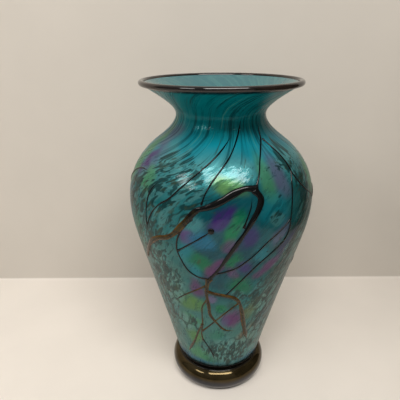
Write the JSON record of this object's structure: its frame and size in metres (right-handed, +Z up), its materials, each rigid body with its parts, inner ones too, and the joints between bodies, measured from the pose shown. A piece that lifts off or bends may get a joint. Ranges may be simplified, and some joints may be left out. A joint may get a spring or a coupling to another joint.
{
  "type": "hand blown art glass vase",
  "caption": "Baluster vase of cased art glass with a flared mouth, black lip wrap, web of raised glass threads and an applied round black foot.",
  "frame": {"origin": "centre of the foot's underside, on the vase's axis, at the height of the surface it stands on", "axes": "+Z up along the vase's axis; -Y is the side shown in the picture, with +X to its right"},
  "size_m": [0.1131, 0.1137, 0.203],
  "materials": {
    "inner_glass": "fire polished, pale aqua",
    "overlay_glass": "iridescent teal with mottled dark chips",
    "black_glass": "fire polished, faint lustre",
    "black_thread": "fire polished",
    "brown_thread": "fire polished, silvered brown"
  },
  "bodies": {
    "root": {"colour_overlay": "overlay_glass", "foot": "black_glass", "inner_gather": "inner_glass", "lip_wrap": "black_glass", "trail_back_arch": "black_thread", "trail_back_brown": "brown_thread", "trail_back_cross": "black_thread", "trail_back_fall": "black_thread", "trail_back_rise": "black_thread", "trail_brown_arch": "brown_thread", "trail_drop_thread": "black_thread", "trail_far_arch": "black_thread", "trail_far_brown": "brown_thread", "trail_far_cross": "black_thread", "trail_far_fall": "black_thread", "trail_far_left": "black_thread", "trail_far_low": "black_thread", "trail_far_rise": "black_thread", "trail_foot_stay": "black_thread", "trail_left_cross": "black_thread", "trail_left_fork": "black_thread", "trail_left_shoulder": "black_thread", "trail_loop_inner": "black_thread", "trail_loop_left_arm": "black_thread", "trail_loop_left_side": "black_thread", "trail_loop_right_arm": "black_thread", "trail_low_cross": "black_thread", "trail_lower_cross": "black_thread", "trail_lower_left": "brown_thread", "trail_neck_to_loop": "black_thread", "trail_right_high": "black_thread", "trail_right_low": "black_thread", "trail_right_shoulder": "black_thread", "trail_right_side": "black_thread", "trail_right_stay": "black_thread", "trail_stem": "brown_thread", "trail_upper_cross": "black_thread"}
  },
  "joints": []
}
